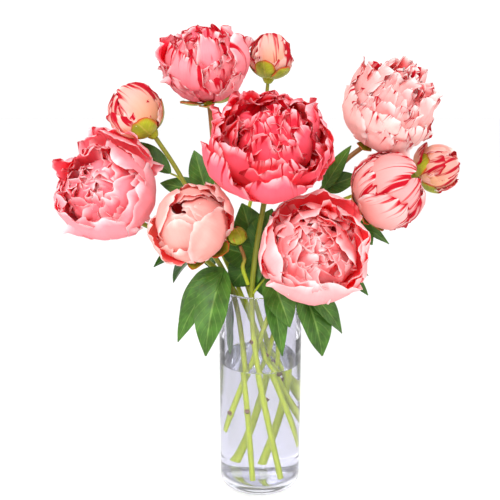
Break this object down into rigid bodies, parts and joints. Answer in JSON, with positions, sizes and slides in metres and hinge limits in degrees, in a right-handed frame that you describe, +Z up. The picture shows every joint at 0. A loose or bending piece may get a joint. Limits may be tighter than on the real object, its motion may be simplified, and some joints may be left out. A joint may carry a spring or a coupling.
{
  "type": "peonies in a vase",
  "caption": "Cut double peonies and half-open buds with leafy stems, fanned out of a straight clear glass cylinder vase part filled with water.",
  "frame": {"origin": "centre of the underside of the vase's foot, where it stands", "axes": "+Z up along the vase, -Y towards the front, where the largest blooms face, +X to the right seen from the front"},
  "size_m": [0.4656, 0.2441, 0.5474],
  "materials": {
    "glass": "clear, polished",
    "water": "clear liquid",
    "stalk": "smooth green stalk",
    "leaf": "waxy green leaf",
    "sepal": "smooth yellow-green sepal",
    "coral_petal": "soft coral petal",
    "blush_petal": "soft pale pink petal",
    "rose_petal": "soft rose petal",
    "pink_petal": "soft pink petal",
    "cream_petal": "soft cream-pink petal",
    "bud_petal": "cream petal with crimson streaks"
  },
  "bodies": {
    "root": {"vase": "glass", "water": "water", "centre_bloom_stem": "stalk", "front_bloom_stem": "stalk", "left_bloom_stem": "stalk", "top_bloom_stem": "stalk", "right_bloom_stem": "stalk", "pale_bloom_stem": "stalk", "low_right_bloom_stem": "stalk", "top_bud_stem": "stalk", "left_bud_stem": "stalk", "right_bud_stem": "stalk", "small_bud_stem": "stalk", "centre_bloom_calyx": "sepal", "centre_bloom_guard_petals": "coral_petal", "centre_bloom_middle_petals": "coral_petal", "centre_bloom_heart_petals": "coral_petal", "front_bloom_calyx": "sepal", "front_bloom_guard_petals": "blush_petal", "front_bloom_middle_petals": "blush_petal", "front_bloom_heart_petals": "blush_petal", "left_bloom_calyx": "sepal", "left_bloom_guard_petals": "rose_petal", "left_bloom_middle_petals": "rose_petal", "left_bloom_heart_petals": "rose_petal", "top_bloom_calyx": "sepal", "top_bloom_guard_petals": "pink_petal", "top_bloom_middle_petals": "pink_petal", "top_bloom_heart_petals": "pink_petal", "right_bloom_calyx": "sepal", "right_bloom_guard_petals": "cream_petal", "right_bloom_middle_petals": "cream_petal", "right_bloom_heart_petals": "cream_petal", "pale_bloom_calyx": "sepal", "pale_bloom_guard_petals": "cream_petal", "pale_bloom_heart_petals": "cream_petal", "low_right_bloom_calyx": "sepal", "low_right_bloom_guard_petals": "cream_petal", "low_right_bloom_heart_petals": "cream_petal", "top_bud_calyx": "sepal", "top_bud_petals": "bud_petal", "left_bud_calyx": "sepal", "left_bud_petals": "bud_petal", "right_bud_calyx": "sepal", "right_bud_petals": "bud_petal", "small_bud": "sepal", "leaf_front_left": "leaf", "leaf_front": "leaf", "leaf_front_right": "leaf", "leaf_right": "leaf", "leaf_under_bloom": "leaf", "leaf_between": "leaf", "leaf_behind_left": "leaf", "leaf_beside_bud": "leaf", "leaf_centre": "leaf", "leaf_back_left": "leaf", "leaf_back": "leaf", "leaf_back_right": "leaf", "leaf_in_vase": "leaf"}
  },
  "joints": []
}
